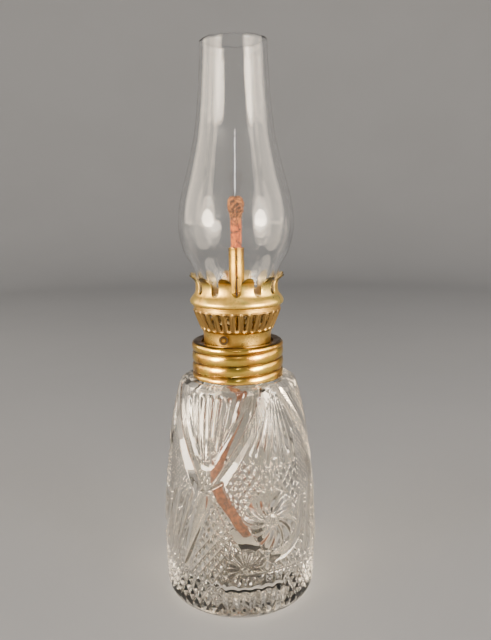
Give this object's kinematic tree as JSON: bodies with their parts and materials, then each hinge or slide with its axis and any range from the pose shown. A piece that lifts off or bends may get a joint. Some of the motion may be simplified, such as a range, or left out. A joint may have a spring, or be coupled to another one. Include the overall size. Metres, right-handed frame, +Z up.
{
  "type": "oil lamp",
  "caption": "Small kerosene lamp with a pressed-glass font, a brass screw cap and crown burner, a round wick with a thumbwheel raiser, and a bulbed glass chimney.",
  "frame": {"origin": "centre of the base, on the surface that the lamp stands on", "axes": "+Z up along the lamp's axis, -Y is the front, where the wick tube's seam is, and the wick raiser's spindle runs front to back"},
  "size_m": [0.0514, 0.0514, 0.1805],
  "materials": {
    "font_glass": "clear pressed glass",
    "chimney_glass": "clear blown glass",
    "cap_brass": "rolled sheet brass, lightly tarnished",
    "burner_brass": "stamped sheet brass, tarnished",
    "tube_brass": "rolled sheet brass, heat stained",
    "raiser_brass": "turned brass",
    "cork": "pressed cork",
    "wick_cotton": "knitted cotton, soaked and charred at the top",
    "wick_tail_cotton": "knitted cotton, stained by oil"
  },
  "bodies": {
    "font": {"font_glass": "font_glass"},
    "seal": {"neck_washer": "cork"},
    "burner": {"screw_cap": "cap_brass", "burner_floor": "burner_brass", "tube_ferrule": "burner_brass", "vent_tube": "tube_brass", "burner_basket": "burner_brass", "air_plate": "burner_brass", "gallery_crown": "burner_brass", "wick_tube": "tube_brass", "spur_housing": "tube_brass", "spindle_eyelet_front": "raiser_brass", "spindle_eyelet_back": "raiser_brass"},
    "wick_knob": {"spindle": "raiser_brass", "spur_wheel": "raiser_brass", "thumbwheel": "raiser_brass", "knob_washer": "raiser_brass"},
    "wick": {"wick": "wick_cotton", "wick_tail": "wick_tail_cotton"},
    "chimney": {"chimney": "chimney_glass"}
  },
  "joints": [
    {"name": "cap_lift", "type": "slide", "parent": "font", "child": "seal", "axis": [0, 0, 1], "range_m": [0, 0.0126]},
    {"name": "cap_turn", "type": "hinge", "parent": "seal", "child": "burner", "pos_m": [0, 0, 0.08], "axis": [0, 0, 1], "range_deg": [0, 1259.9]},
    {"name": "knob_turn", "type": "hinge", "parent": "burner", "child": "wick_knob", "pos_m": [-0.0042, 0, 0.0892], "axis": [0, -1, 0], "range_deg": [-273, 109.2]},
    {"name": "wick_slide", "type": "slide", "parent": "burner", "child": "wick", "axis": [0, 0, 1], "range_m": [-0.01, 0.004]},
    {"name": "chimney_lift", "type": "slide", "parent": "burner", "child": "chimney", "axis": [0, 0, 1], "range_m": [0, 0.04]}
  ],
  "couplings": [
    {"joint": "cap_lift", "follows": "cap_turn", "m_per_rad": 0.00057296},
    {"joint": "knob_turn", "follows": "wick_slide", "rad_per_m": 476.19}
  ]
}
